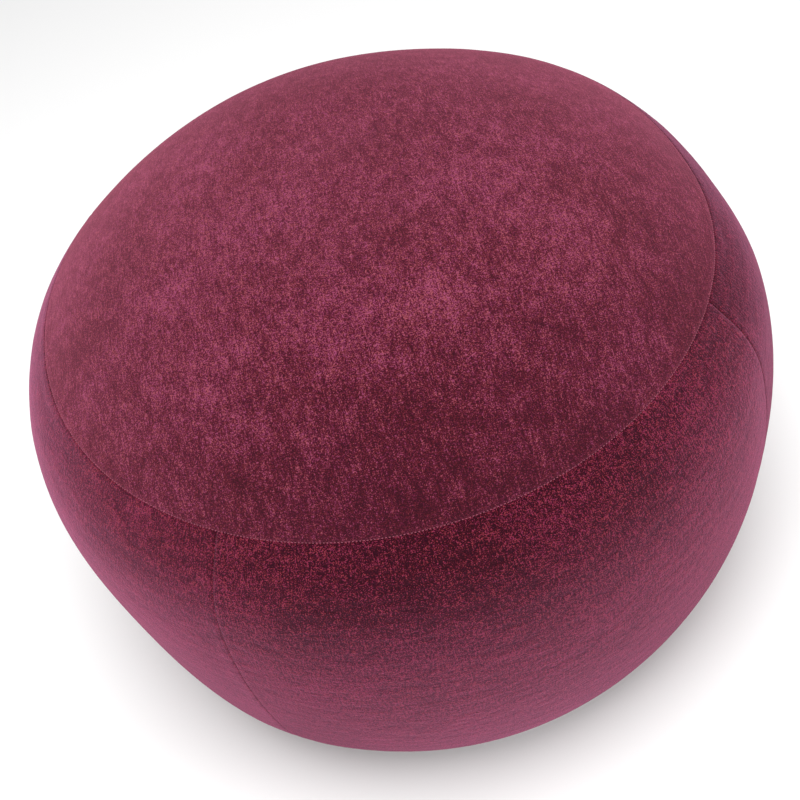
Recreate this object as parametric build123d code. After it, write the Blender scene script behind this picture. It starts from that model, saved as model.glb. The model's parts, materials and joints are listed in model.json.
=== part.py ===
from build123d import *
import os
from math import cos, degrees, radians, sin

# A round, air-filled wobble cushion of pouf height: a sewn velour cover, zipped at the
# lower rim, over a foam jacket and an inflatable bladder that lets the seat tip.
# Millimetres, +Z up, origin at the middle of the base where it rests on the floor.

# ---- driving dimensions: the outline --------------------------------------------------
# The outline is a chain of tangent arcs. Each arc is (normal angle at its lower end,
# radius); the normal angle is 90 at the crown, 0 at the widest point and -90 at the base.
CROWN = (70, 468)
DOME = (40, 267)
SHOULDER = (10, 90)
WALL = (-10, 470)
LOWER_WALL = (-25, 297)
BASE_CORNER = (-90, 75)
ARCS = [CROWN, DOME, SHOULDER, WALL, LOWER_WALL, BASE_CORNER]

# ---- driving dimensions: the cover ----------------------------------------------------
VELOUR = 2.0
SEAM_GAP = 0.3
TOP_SEAM_ANGLE = 45.7
FIRST_SIDE_SEAM = -123
SIDE_PANELS = ["front", "right", "back", "left"]
PANEL_SWEEP = 360 / len(SIDE_PANELS)
BASE_SEAM_ANGLE = -40
ALLOWANCE_HALF_WIDTH = 8.0
ALLOWANCE_DEPTHS = (2.1, 3.3)
LABEL_SIZE = (30.0, 22.0)
LABEL_DEPTHS = (3.35, 3.55)

# ---- driving dimensions: the zip, which takes the base seam of two side panels ---------
ZIP_START = FIRST_SIDE_SEAM + 2 * PANEL_SWEEP
ZIP_SWEEP = 2 * PANEL_SWEEP
ZIP_END_MARGIN = 2.0
ZIP_OPENING_HALF = 5.0
COIL_INNER, COIL_OUTER = 0.6, 3.1
COIL_DEPTHS = (0.3, 2.3)
TAPE_INNER, TAPE_OUTER = 0.8, 11.0
TAPE_DEPTHS = (2.3, 3.3)
STOP_LENGTH = 3.0
STOP_DEPTHS = (-0.3, 2.3)
STOP_GAP = 1.0
SLIDER_LENGTH = 11.0
SLIDER_HALF_WIDTH = 4.4
SLIDER_TOP_DEPTHS = (-1.5, 0.0)
SLIDER_BACK_DEPTHS = (3.6, 4.8)
SLIDER_LIP = (3.4, 1.2)
SLIDER_POST_HALF = 0.3
SLIDER_POST_LENGTH = 3.0
BRIDGE_HALF_WIDTH = 0.9
BRIDGE_FOOT = 1.0
BRIDGE_LEG = 1.2
BRIDGE_SPAN = 6.0
BRIDGE_TOP = 4.9
BRIDGE_ROOF = 1.1
PULL_LIFT = 2.75
PULL_THICKNESS = 1.2
PULL_LENGTH = 24.0
PULL_WIDTH = 7.0
PULL_CORNER = 2.8
PULL_EYE = (5.6, 3.4)
PULL_BAR = 1.2

# ---- driving dimensions: the filling --------------------------------------------------
FOAM_DEPTHS = (3.6, 27.6)
FOAM_SPLIT_GAP = 0.4
ZIP_GROOVE_HALF = 12.5
VALVE_WELL_RADIUS = 60.0
BLADDER_DEPTHS = (28.0, 28.8)
WELD_BAND_DEPTHS = (29.1, 29.9)
WELD_BAND_HALF_ANGLE = 1.0
SHELL_EDGE_ANGLE = 0.02
VALVE_FLANGE = (18.0, 1.5)
VALVE_NECK_RADIUS = 9.0
VALVE_NECK_LENGTH = 10.0
VALVE_BORE = 6.0
BORE_OVERRUN = 1.0
PLUG_CLEARANCE = 0.05
PLUG_HEAD = (9.0, 3.2)
PLUG_GAP = 0.3


# ---- the outline as a function of the normal angle -------------------------------------
def arc_centres():
    """Centre (r, z) of every arc, built from the crown down and then set on the floor."""
    centres = []
    top_angle, r, z = 90, 0.0, 0.0
    for low_angle, radius in ARCS:
        centre = (r - radius * cos(radians(top_angle)), z - radius * sin(radians(top_angle)))
        centres.append(centre)
        r = centre[0] + radius * cos(radians(low_angle))
        z = centre[1] + radius * sin(radians(low_angle))
        top_angle = low_angle
    return [(cr, cz - z) for cr, cz in centres]


CENTRES = arc_centres()
BASE_RADIUS = CENTRES[-1][0]
CORNER_RADIUS = BASE_CORNER[1]
DOME_RADIUS = DOME[1]
WALL_CENTRE = CENTRES[ARCS.index(WALL)]
WIDEST_RADIUS = WALL_CENTRE[0] + WALL[1]
WIDEST_HEIGHT = WALL_CENTRE[1]
TOTAL_HEIGHT = CENTRES[0][1] + CROWN[1]


def on_outline(angle, depth=0.0):
    """Point (r, z) at a normal angle, a depth inside the cover's outer face."""
    for (low_angle, radius), (cr, cz) in zip(ARCS, CENTRES):
        if angle >= low_angle:
            break
    reach = radius - depth
    return (cr + reach * cos(radians(angle)), cz + reach * sin(radians(angle)))


def outline_edges(top_angle, bottom_angle, depth):
    """The outline's arcs between two normal angles, at a depth."""
    stops = [low for low, _ in ARCS if bottom_angle < low < top_angle]
    stops = [top_angle, *stops, bottom_angle]
    edges = []
    for high, low in zip(stops, stops[1:]):
        # the middle angle always lies inside one arc, so its ends are taken from that arc
        middle = (high + low) / 2
        start, end = on_outline(high, depth), on_outline(low, depth)
        edges.append(ThreePointArc(start, on_outline(middle, depth), end))
    return edges


def layer_section(top_angle, bottom_angle, depths):
    """Section of a layer that follows the outline between two normal angles."""
    outer, inner = depths
    outside = outline_edges(top_angle, bottom_angle, outer)
    inside = outline_edges(top_angle, bottom_angle, inner)
    ends = [
        Line(on_outline(angle, outer), on_outline(angle, inner))
        for angle in (top_angle, bottom_angle)
    ]
    return make_face([*outside, *inside, *ends])


def base_section(top_angle, depths, inner_radius=0.0):
    """Section of a layer that follows the base corner and then the flat base inwards."""
    outer, inner = depths
    edges = outline_edges(top_angle, -90, outer) + outline_edges(top_angle, -90, inner)
    edges.append(Line(on_outline(top_angle, outer), on_outline(top_angle, inner)))
    edges.append(Line((BASE_RADIUS, outer), (inner_radius, outer)))
    edges.append(Line((BASE_RADIUS, inner), (inner_radius, inner)))
    edges.append(Line((inner_radius, outer), (inner_radius, inner)))
    return make_face(edges)


def turned(section, start=0.0, sweep=360.0):
    """Turn a section (r, z) about the vertical axis, from one azimuth through a sweep."""
    solid = revolve(Plane.XZ * section, axis=Axis.Z, revolution_arc=sweep)
    return Rot(0, 0, start) * solid


def around(distance, radius):
    """Angle in degrees that an arc length takes up at a radius."""
    return degrees(distance / radius)


# ---- the cover ------------------------------------------------------------------------
def cover_top_panel():
    edge = TOP_SEAM_ANGLE + around(SEAM_GAP / 2, DOME_RADIUS)
    return turned(layer_section(90, edge, (0, VELOUR)))


def side_panel_start(index):
    return FIRST_SIDE_SEAM + index * PANEL_SWEEP


def is_zipped(index):
    return side_panel_start(index) >= ZIP_START


def cover_side_panel(index):
    top = TOP_SEAM_ANGLE - around(SEAM_GAP / 2, DOME_RADIUS)
    hem = ZIP_OPENING_HALF if is_zipped(index) else SEAM_GAP / 2
    bottom = BASE_SEAM_ANGLE + around(hem, CORNER_RADIUS)
    gap = around(SEAM_GAP, WIDEST_RADIUS)
    section = layer_section(top, bottom, (0, VELOUR))
    return turned(section, side_panel_start(index) + gap / 2, PANEL_SWEEP - gap)


def cover_base_panel():
    plain = base_section(BASE_SEAM_ANGLE - around(SEAM_GAP / 2, CORNER_RADIUS), (0, VELOUR))
    zipped = base_section(BASE_SEAM_ANGLE - around(ZIP_OPENING_HALF, CORNER_RADIUS), (0, VELOUR))
    plain_half = turned(plain, ZIP_START + ZIP_SWEEP, 360 - ZIP_SWEEP)
    return plain_half + turned(zipped, ZIP_START, ZIP_SWEEP)


def top_seam_allowance():
    spread = around(ALLOWANCE_HALF_WIDTH, DOME_RADIUS)
    section = layer_section(TOP_SEAM_ANGLE + spread, TOP_SEAM_ANGLE - spread, ALLOWANCE_DEPTHS)
    return turned(section)


def side_seam_allowances():
    """Pressed-open allowance strip behind each side seam, as separate solids."""
    top = TOP_SEAM_ANGLE - around(ALLOWANCE_HALF_WIDTH + SEAM_GAP, DOME_RADIUS)
    bottom = BASE_SEAM_ANGLE + around(ZIP_GROOVE_HALF, CORNER_RADIUS)
    half = around(ALLOWANCE_HALF_WIDTH, WIDEST_RADIUS)
    section = layer_section(top, bottom, ALLOWANCE_DEPTHS)
    starts = [side_panel_start(index) - half for index in range(len(SIDE_PANELS))]
    return Compound(children=[turned(section, start, 2 * half) for start in starts])


def base_seam_allowance():
    spread = around(ALLOWANCE_HALF_WIDTH, CORNER_RADIUS)
    section = layer_section(BASE_SEAM_ANGLE + spread, BASE_SEAM_ANGLE - spread, ALLOWANCE_DEPTHS)
    return turned(section, ZIP_START + ZIP_SWEEP, 360 - ZIP_SWEEP)


def care_label():
    """Blank label sewn inside the left panel's lower edge."""
    width, length = LABEL_SIZE
    bottom, wall_radius = LOWER_WALL
    top = bottom + around(length, wall_radius)
    middle = side_panel_start(len(SIDE_PANELS) - 1) + PANEL_SWEEP / 2
    half = around(width / 2, WIDEST_RADIUS)
    return turned(layer_section(top, bottom, LABEL_DEPTHS), middle - half, 2 * half)


# ---- the zip, laid out in arc lengths either side of the base seam line ----------------
def zip_section(low, high, depths):
    """Section between two distances up the outline from the base seam line."""
    top = BASE_SEAM_ANGLE + around(high, CORNER_RADIUS)
    bottom = BASE_SEAM_ANGLE + around(low, CORNER_RADIUS)
    return layer_section(top, bottom, depths)


ZIP_RADIUS = on_outline(BASE_SEAM_ANGLE)[0]
CLOSED_END = ZIP_START + ZIP_END_MARGIN
OPEN_END = ZIP_START + ZIP_SWEEP - ZIP_END_MARGIN
STOP_SWEEP = around(STOP_LENGTH, ZIP_RADIUS)
SLIDER_SWEEP = around(SLIDER_LENGTH, ZIP_RADIUS)
SLIDER_START = CLOSED_END + STOP_SWEEP + around(STOP_GAP, ZIP_RADIUS)
SLIDER_MIDDLE = SLIDER_START + SLIDER_SWEEP / 2


def zip_tape(side):
    """Woven tape of one side of the zip; side is +1 above the seam line, -1 below it."""
    low, high = sorted((side * TAPE_INNER, side * TAPE_OUTER))
    return turned(zip_section(low, high, TAPE_DEPTHS), CLOSED_END, OPEN_END - CLOSED_END)


def zip_coil(side):
    """Coil of one side of the zip, between the two end stops."""
    low, high = sorted((side * COIL_INNER, side * COIL_OUTER))
    start, end = CLOSED_END + STOP_SWEEP, OPEN_END - STOP_SWEEP
    return turned(zip_section(low, high, COIL_DEPTHS), start, end - start)


def zip_stop(azimuth):
    section = zip_section(-COIL_OUTER, COIL_OUTER, STOP_DEPTHS)
    return turned(section, azimuth, STOP_SWEEP)


def placed_on_slider(shape):
    """Place a shape on the slider: x along the zip, y up the outline, z out of the cover."""
    r, z = on_outline(BASE_SEAM_ANGLE)
    outward = (cos(radians(BASE_SEAM_ANGLE)), 0, sin(radians(BASE_SEAM_ANGLE)))
    frame = Plane(origin=(r, 0, z), x_dir=(0, 1, 0), z_dir=outward)
    return Rot(0, 0, SLIDER_MIDDLE) * (frame.location * shape)


def slider_bar(low, high, depths, length=SLIDER_LENGTH):
    """One bar of the slider, from its closed-end face for a length along the zip."""
    return turned(zip_section(low, high, depths), SLIDER_START, around(length, ZIP_RADIUS))


def zip_slider():
    """Top and back plates joined by a post between the chains, with lips and a bridge."""
    outer_face, inner_face = SLIDER_TOP_DEPTHS[0], SLIDER_BACK_DEPTHS[1]
    lip_inner, lip_depth = SLIDER_LIP
    slider = slider_bar(-SLIDER_HALF_WIDTH, SLIDER_HALF_WIDTH, SLIDER_TOP_DEPTHS)
    slider += slider_bar(-SLIDER_HALF_WIDTH, SLIDER_HALF_WIDTH, SLIDER_BACK_DEPTHS)
    slider += slider_bar(
        -SLIDER_POST_HALF, SLIDER_POST_HALF, (outer_face, inner_face), SLIDER_POST_LENGTH
    )
    for low, high in ((lip_inner, SLIDER_HALF_WIDTH), (-SLIDER_HALF_WIDTH, -lip_inner)):
        slider += slider_bar(low, high, (outer_face, lip_depth))
    leg_height = BRIDGE_TOP - BRIDGE_FOOT
    leg_place = (BRIDGE_SPAN - BRIDGE_LEG) / 2
    for end in (-1, 1):
        leg = Box(BRIDGE_LEG, 2 * BRIDGE_HALF_WIDTH, leg_height)
        slider += placed_on_slider(Pos(end * leg_place, 0, BRIDGE_FOOT + leg_height / 2) * leg)
    roof = Pos(0, 0, BRIDGE_TOP - BRIDGE_ROOF / 2) * Box(
        BRIDGE_SPAN, 2 * BRIDGE_HALF_WIDTH, BRIDGE_ROOF
    )
    return slider + placed_on_slider(roof)


def zip_pull():
    """Flat tab with an eye: its end bar lies under the slider's bridge."""
    eye_length, eye_width = PULL_EYE
    outline = Pos(PULL_LENGTH / 2 - PULL_BAR / 2, 0) * RectangleRounded(
        PULL_LENGTH, PULL_WIDTH, PULL_CORNER
    )
    eye = Pos(PULL_BAR / 2 + eye_length / 2, 0) * Rectangle(eye_length, eye_width)
    tab = extrude(outline - eye, amount=PULL_THICKNESS)
    return placed_on_slider(Pos(0, 0, PULL_LIFT - PULL_THICKNESS / 2) * tab)


# ---- the filling ------------------------------------------------------------------------
def foam_topper():
    edge = TOP_SEAM_ANGLE + around(FOAM_SPLIT_GAP / 2, DOME_RADIUS)
    return turned(layer_section(90, edge, FOAM_DEPTHS))


def foam_side_wall():
    top = TOP_SEAM_ANGLE - around(FOAM_SPLIT_GAP / 2, DOME_RADIUS)
    bottom = BASE_SEAM_ANGLE + around(ZIP_GROOVE_HALF, CORNER_RADIUS)
    return turned(layer_section(top, bottom, FOAM_DEPTHS))


def foam_base_ring():
    top = BASE_SEAM_ANGLE - around(ZIP_GROOVE_HALF, CORNER_RADIUS)
    return turned(base_section(top, FOAM_DEPTHS, VALVE_WELL_RADIUS))


def bladder_upper_shell():
    return turned(layer_section(90, SHELL_EDGE_ANGLE, BLADDER_DEPTHS))


def bladder_lower_shell():
    """Lower half of the bladder, with the valve's hole in the middle of its floor."""
    wall = turned(layer_section(-SHELL_EDGE_ANGLE, -90, BLADDER_DEPTHS))
    outer, inner = BLADDER_DEPTHS
    floor = Pos(0, 0, (outer + inner) / 2) * Cylinder(BASE_RADIUS, inner - outer)
    hole = Pos(0, 0, inner) * Cylinder(VALVE_NECK_RADIUS + SEAM_GAP, VALVE_NECK_LENGTH)
    return wall + floor - hole


def bladder_weld_band():
    return turned(layer_section(WELD_BAND_HALF_ANGLE, -WELD_BAND_HALF_ANGLE, WELD_BAND_DEPTHS))


VALVE_FLOOR = BLADDER_DEPTHS[1]
VALVE_MOUTH = BLADDER_DEPTHS[0] - VALVE_NECK_LENGTH


def valve_boss():
    """Flange welded inside the bladder's floor, with a neck that reaches down the well."""
    radius, thickness = VALVE_FLANGE
    flange = Pos(0, 0, VALVE_FLOOR + thickness / 2) * Cylinder(radius, thickness)
    top = VALVE_FLOOR + thickness
    length = top - VALVE_MOUTH
    middle = Pos(0, 0, (VALVE_MOUTH + top) / 2)
    neck = middle * Cylinder(VALVE_NECK_RADIUS, length)
    bore = middle * Cylinder(VALVE_BORE, length + 2 * BORE_OVERRUN)
    return flange + neck - bore


def valve_plug():
    """Stopper: a stem that fills the valve's bore and a head to pull it by."""
    head_radius, head_height = PLUG_HEAD
    head_top = VALVE_MOUTH - PLUG_GAP
    head = Pos(0, 0, head_top - head_height / 2) * Cylinder(head_radius, head_height)
    stem_length = VALVE_FLOOR - head_top
    stem = Pos(0, 0, head_top + stem_length / 2) * Cylinder(
        VALVE_BORE - PLUG_CLEARANCE, stem_length
    )
    return head + stem


# ---- every piece by its node name -------------------------------------------------------
nodes = {
    "cover_top_panel": cover_top_panel(),
    "cover_base_panel": cover_base_panel(),
    "top_seam_allowance": top_seam_allowance(),
    "side_seam_allowances": side_seam_allowances(),
    "base_seam_allowance": base_seam_allowance(),
    "care_label": care_label(),
    "zip_tape_upper": zip_tape(1),
    "zip_tape_lower": zip_tape(-1),
    "zip_coil_upper": zip_coil(1),
    "zip_coil_lower": zip_coil(-1),
    "zip_stop_closed_end": zip_stop(CLOSED_END),
    "zip_stop_open_end": zip_stop(OPEN_END - STOP_SWEEP),
    "zip_slider": zip_slider(),
    "zip_pull": zip_pull(),
    "foam_topper": foam_topper(),
    "foam_side_wall": foam_side_wall(),
    "foam_base_ring": foam_base_ring(),
    "bladder_upper_shell": bladder_upper_shell(),
    "bladder_lower_shell": bladder_lower_shell(),
    "bladder_weld_band": bladder_weld_band(),
    "valve_boss": valve_boss(),
    "valve_plug": valve_plug(),
}
for index, name in enumerate(SIDE_PANELS):
    nodes[f"cover_side_{name}"] = cover_side_panel(index)

os.makedirs("parts", exist_ok=True)
for name, shape in nodes.items():
    export_step(shape, f"parts/{name}.step")

print("widest radius", round(WIDEST_RADIUS, 2), "at height", round(WIDEST_HEIGHT, 2))
print("total height", round(TOTAL_HEIGHT, 2), "base radius", round(BASE_RADIUS, 2))
print("top seam at", [round(v, 2) for v in on_outline(TOP_SEAM_ANGLE)])
print("zip line at", [round(v, 2) for v in on_outline(BASE_SEAM_ANGLE)])
slider_travel = OPEN_END - STOP_SWEEP - around(STOP_GAP, ZIP_RADIUS) - SLIDER_SWEEP - SLIDER_START
print("slider azimuth", round(SLIDER_MIDDLE, 3), "travel", round(slider_travel, 2))
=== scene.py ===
import json
import math

import bpy
import numpy as np
from mathutils import Matrix, Vector


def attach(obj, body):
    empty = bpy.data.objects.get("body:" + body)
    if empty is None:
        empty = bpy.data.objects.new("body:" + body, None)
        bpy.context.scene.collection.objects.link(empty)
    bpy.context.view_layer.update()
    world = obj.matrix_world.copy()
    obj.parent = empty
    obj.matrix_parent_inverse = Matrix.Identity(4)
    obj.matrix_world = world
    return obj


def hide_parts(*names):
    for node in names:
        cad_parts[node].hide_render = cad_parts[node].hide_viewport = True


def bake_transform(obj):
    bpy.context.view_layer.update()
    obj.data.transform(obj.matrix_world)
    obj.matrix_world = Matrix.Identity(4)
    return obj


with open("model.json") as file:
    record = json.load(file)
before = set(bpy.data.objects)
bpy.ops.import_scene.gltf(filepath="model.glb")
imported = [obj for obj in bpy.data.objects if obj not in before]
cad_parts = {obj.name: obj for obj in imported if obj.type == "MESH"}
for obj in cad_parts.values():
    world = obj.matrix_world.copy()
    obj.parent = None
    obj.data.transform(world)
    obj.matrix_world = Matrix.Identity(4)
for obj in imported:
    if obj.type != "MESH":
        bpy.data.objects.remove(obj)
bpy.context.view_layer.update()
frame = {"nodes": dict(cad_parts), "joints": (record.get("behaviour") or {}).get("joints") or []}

MM = 0.001
scene = bpy.context.scene

# ---- dimensions, in metres and degrees ---------------------------------------------------
# The outline is the CAD cover's: tangent arcs as (normal angle at the lower end, radius).
ARCS = [(70, 0.468), (40, 0.267), (10, 0.090), (-10, 0.470), (-25, 0.297), (-90, 0.075)]
TOP_SEAM_ANGLE = 45.7
BASE_SEAM_ANGLE = -40.0
FIRST_SIDE_SEAM = -123.0
PANEL_SWEEP = 90.0
SIDE_PANELS = ["front", "right", "back", "left"]
ZIP_START = FIRST_SIDE_SEAM + 2 * PANEL_SWEEP
ZIP_SWEEP = 2 * PANEL_SWEEP
ZIP_OPENING_HALF = 5.0 * MM
VELOUR = 2.0 * MM
SEAM_GAP = 0.1 * MM

# the two sprung hinges of the wobble meet at this height, where the side wall is split
tilt = next(j for j in frame["joints"] if j["name"] == "tilt_fore_aft")
PIVOT_HEIGHT = tilt["pos_m"][2]


# ---- camera: at the photograph's viewing angle ---------------------------------------------
CAMERA_DISTANCE = 0.935
CAMERA_ELEVATION = 48.7
CAMERA_ROLL = 15.45
CAMERA_LENS = 48.9
CAMERA_SHIFT_Y = -0.0354
SENSOR_WIDTH = 36


def make_camera():
    data = bpy.data.cameras.new("camera")
    data.lens = CAMERA_LENS
    data.sensor_width = SENSOR_WIDTH
    data.shift_y = CAMERA_SHIFT_Y
    camera = bpy.data.objects.new("camera", data)
    scene.collection.objects.link(camera)
    elevation = math.radians(CAMERA_ELEVATION)
    back = Vector((0, -math.cos(elevation), math.sin(elevation)))
    camera.location = Vector((0, 0, PIVOT_HEIGHT)) + back * CAMERA_DISTANCE
    aim = (-back).to_track_quat("-Z", "Y").to_matrix()
    roll = Matrix.Rotation(math.radians(-CAMERA_ROLL), 3, "Z")
    camera.rotation_euler = (aim @ roll).to_euler()
    scene.camera = camera


make_camera()


# ---- the outline by arc length ---------------------------------------------------------------
def arc_centres():
    """Centre (r, z) of every arc, from the crown down, with the base at z = 0."""
    centres = []
    top_angle, r, z = 90, 0.0, 0.0
    for low_angle, radius in ARCS:
        top, low = math.radians(top_angle), math.radians(low_angle)
        centre = (r - radius * math.cos(top), z - radius * math.sin(top))
        centres.append(centre)
        r = centre[0] + radius * math.cos(low)
        z = centre[1] + radius * math.sin(low)
        top_angle = low_angle
    return [(cr, cz - z) for cr, cz in centres]


def outline_table(step=0.05, flat_steps=400):
    """Normal angle, r, z and arc length down the outline, from the crown to the base's middle."""
    angles, rs, zs = [], [], []
    top_angle = 90.0
    for (low_angle, radius), (cr, cz) in zip(ARCS, arc_centres()):
        count = int(round((top_angle - low_angle) / step))
        part = np.linspace(top_angle, low_angle, count, endpoint=False)
        angles.append(part)
        rs.append(cr + radius * np.cos(np.radians(part)))
        zs.append(cz + radius * np.sin(np.radians(part)))
        top_angle = low_angle
    base_radius = arc_centres()[-1][0]
    flat = np.linspace(base_radius, 0, flat_steps)
    angle = np.concatenate([*angles, np.full(len(flat), -90.0)])
    r = np.concatenate([*rs, flat])
    z = np.concatenate([*zs, np.zeros(len(flat))])
    s = np.concatenate([[0], np.cumsum(np.hypot(np.diff(r), np.diff(z)))])
    return angle, r, z, s


OUT_ANGLE, OUT_R, OUT_Z, OUT_S = outline_table()
CURVED = OUT_ANGLE > -90
LENGTH = OUT_S[-1]


def s_at_angle(angle):
    """Arc length from the crown to a normal angle."""
    return float(np.interp(-angle, -OUT_ANGLE[CURVED], OUT_S[CURVED]))


S_TOP_SEAM = s_at_angle(TOP_SEAM_ANGLE)
S_WIDEST = s_at_angle(0.0)
S_BASE_SEAM = s_at_angle(BASE_SEAM_ANGLE)
S_FLOOR = s_at_angle(-89.99)


def at(azimuth, s, out):
    """Points at azimuth (degrees) and arc length s, moved outwards by out. Arrays broadcast."""
    r = np.interp(s, OUT_S, OUT_R)
    z = np.interp(s, OUT_S, OUT_Z)
    tip = np.radians(np.interp(s, OUT_S, OUT_ANGLE))
    reach = np.maximum(r + out * np.cos(tip), 0)
    turn = np.radians(azimuth)
    return np.stack(
        np.broadcast_arrays(reach * np.cos(turn), reach * np.sin(turn), z + out * np.sin(tip)), -1
    )


# ---- how the filled cover differs from the plain outline --------------------------------------
def side_seam_distance(azimuth, s):
    """Distance along the cloth to the nearest side seam."""
    offset = (azimuth - FIRST_SIDE_SEAM + PANEL_SWEEP / 2) % PANEL_SWEEP - PANEL_SWEEP / 2
    return np.abs(np.radians(offset)) * np.interp(s, OUT_S, OUT_R)


SIM_COLUMNS = 180
SIM_TOP_ROWS, SIM_WALL_ROWS, SIM_BASE_ROWS = 33, 41, 21
SIM_INSET = 1.3 * MM
SIM_CAP = 6 * MM
SIM_FRAMES = 20
SIM_PRESSURE = 4.0
SIM_VERTEX_MASS = 0.1
SIM_STRETCH = 0.5
SIM_BEND = 0.05
SEAM_HOLD, FLOOR_HOLD = 0.9, 1.0
CROWN_PATCH = 70 * MM


# between these places the cover settles onto its outline, so that the zip lies flush in it
FADE_START, FADE_END = s_at_angle(-17), s_at_angle(-34)


def above_zip(s):
    """1 over most of the cover, falling to 0 above the base seam."""
    return 1 - np.clip((s - FADE_START) / (FADE_END - FADE_START), 0, 1)


def inset(s):
    """How far inside the outline the cloth starts; nothing at the base seam and below."""
    return SIM_INSET * above_zip(s)


def sim_grid():
    """Azimuths and arc lengths of the coarse cover that is simulated."""
    azimuth = FIRST_SIDE_SEAM + np.arange(SIM_COLUMNS) * 360 / SIM_COLUMNS
    upper = np.linspace(0, S_TOP_SEAM, SIM_TOP_ROWS + 1)[1:]
    wall = np.linspace(S_TOP_SEAM, S_BASE_SEAM, SIM_WALL_ROWS + 1)[1:]
    lower = np.linspace(S_BASE_SEAM, LENGTH, SIM_BASE_ROWS + 2)[1:-1]
    return azimuth, np.concatenate([upper, wall, lower])


def grid_faces(columns, rows, wrap):
    """Quads of a grid whose vertices run column by column within each row."""
    faces = []
    for j in range(rows - 1):
        for i in range(columns if wrap else columns - 1):
            k = (i + 1) % columns
            faces.append(
                (j * columns + i, (j + 1) * columns + i, (j + 1) * columns + k, j * columns + k)
            )
    return faces


def make_sim_cover(start):
    """The coarse cover as an object: its grid of points, closed at the crown and the sole."""
    rows, columns = start.shape[:2]
    crown, sole = at(0.0, 0.0, -SIM_INSET), at(0.0, LENGTH, 0.0)
    verts = [*start.reshape(-1, 3), crown, sole]
    faces = grid_faces(columns, rows, True)
    top, bottom = rows * columns, rows * columns + 1
    last = (rows - 1) * columns
    for i in range(columns):
        k = (i + 1) % columns
        faces.append((top, i, k))
        faces.append((bottom, last + k, last + i))
    mesh = bpy.data.meshes.new("cover_sim")
    mesh.from_pydata([tuple(v) for v in verts], [], faces)
    obj = bpy.data.objects.new("cover_sim", mesh)
    scene.collection.objects.link(obj)
    return obj


def hold_seams(obj, s):
    """Hold the seams and the part that rests on the floor; returns the group's name."""
    columns, sole = SIM_COLUMNS, len(s) * SIM_COLUMNS + 1
    top_row, base_row = (int(np.abs(s - place).argmin()) for place in (S_TOP_SEAM, S_BASE_SEAM))
    seam_columns = range(0, columns, columns // len(SIDE_PANELS))
    on_seam = [j * columns + i for j in (top_row, base_row) for i in range(columns)]
    on_seam += [j * columns + i for i in seam_columns for j in range(top_row, base_row)]
    on_floor = [j * columns + i for j in range(len(s)) if s[j] > S_FLOOR for i in range(columns)]
    held = obj.vertex_groups.new(name="held")
    held.add(on_seam, SEAM_HOLD, "REPLACE")
    held.add([*on_floor, sole], FLOOR_HOLD, "REPLACE")
    return held.name


def add_cloth(obj, held):
    """Light, stretchy cloth under pressure, without gravity."""
    cloth = obj.modifiers.new("cloth", "CLOTH")
    settings = cloth.settings
    settings.vertex_group_mass = held
    settings.pin_stiffness = 1.0
    settings.mass = SIM_VERTEX_MASS
    settings.tension_stiffness = SIM_STRETCH
    settings.compression_stiffness = SIM_STRETCH
    settings.shear_stiffness = SIM_STRETCH
    settings.bending_stiffness = SIM_BEND
    settings.use_pressure = True
    settings.uniform_pressure_force = SIM_PRESSURE
    settings.effector_weights.gravity = 0
    cloth.collision_settings.use_collision = False
    cloth.point_cache.frame_start = 1
    cloth.point_cache.frame_end = SIM_FRAMES


def settle_crown(out, s):
    """The grid is pinched at the crown, so there the cover keeps the mean of the ring around
    it. Adds the crown's own row."""
    ring = np.abs(s - CROWN_PATCH).argmin()
    crown_out = float(out[ring].mean())
    trust = np.clip(s / CROWN_PATCH, 0, 1)[:, None]
    trust = trust * trust * (3 - 2 * trust)
    out = np.where((s < CROWN_PATCH)[:, None], crown_out + (out - crown_out) * trust, out)
    return np.vstack([np.full((1, out.shape[1]), crown_out), out])


def simulated_swell():
    """Blow the closed cover up against its seams; returns how far each grid point went out."""
    azimuth, s = sim_grid()
    az, arc = azimuth[None, :], s[:, None]
    start = at(az, arc, -inset(s)[:, None])
    cover = make_sim_cover(start)
    add_cloth(cover, hold_seams(cover, s))
    for number in range(1, SIM_FRAMES + 1):
        scene.frame_set(number)
    depsgraph = bpy.context.evaluated_depsgraph_get()
    moved = np.array([v.co for v in cover.evaluated_get(depsgraph).data.vertices])
    scene.frame_set(1)
    bpy.data.objects.remove(cover)
    step = moved[: start.shape[0] * start.shape[1]].reshape(start.shape) - start
    outward = at(az, arc, 1.0) - at(az, arc, 0.0)
    out = np.clip((step * outward).sum(-1), -SIM_CAP, SIM_CAP)
    return settle_crown(out, s)


def smooth_swell(field, rounds):
    """Average each point with its neighbours, wrapping round the azimuth."""
    for _ in range(rounds):
        field = (np.roll(field, 1, 1) + 2 * field + np.roll(field, -1, 1)) / 4
        inner = (field[:-2] + 2 * field[1:-1] + field[2:]) / 4
        field = np.vstack([field[:1], inner, field[-1:]])
    return field


swell_field = smooth_swell(simulated_swell(), 2)
swell_s = np.concatenate([[0], sim_grid()[1]])


def cubic_weights(t):
    """Catmull-Rom weights of four neighbours, for a place t between the middle two."""
    return [
        -0.5 * t + t * t - 0.5 * t**3,
        1 - 2.5 * t * t + 1.5 * t**3,
        0.5 * t + 2 * t * t - 1.5 * t**3,
        -0.5 * t * t + 0.5 * t**3,
    ]


def swell(azimuth, s):
    """The swell field at any azimuth and arc length, smoothly interpolated."""
    azimuth, s = np.broadcast_arrays(azimuth, s)
    column = (azimuth - FIRST_SIDE_SEAM) % 360 * SIM_COLUMNS / 360
    row = np.interp(s, swell_s, np.arange(len(swell_s)))
    i, j = np.floor(column).astype(int), np.floor(row).astype(int)
    across, down = cubic_weights(column - i), cubic_weights(row - j)
    total = np.zeros(s.shape)
    for b in range(4):
        at_row = np.clip(j + b - 1, 0, len(swell_s) - 1)
        for a in range(4):
            total += down[b] * across[a] * swell_field[at_row, (i + a - 1) % SIM_COLUMNS]
    return total


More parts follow.
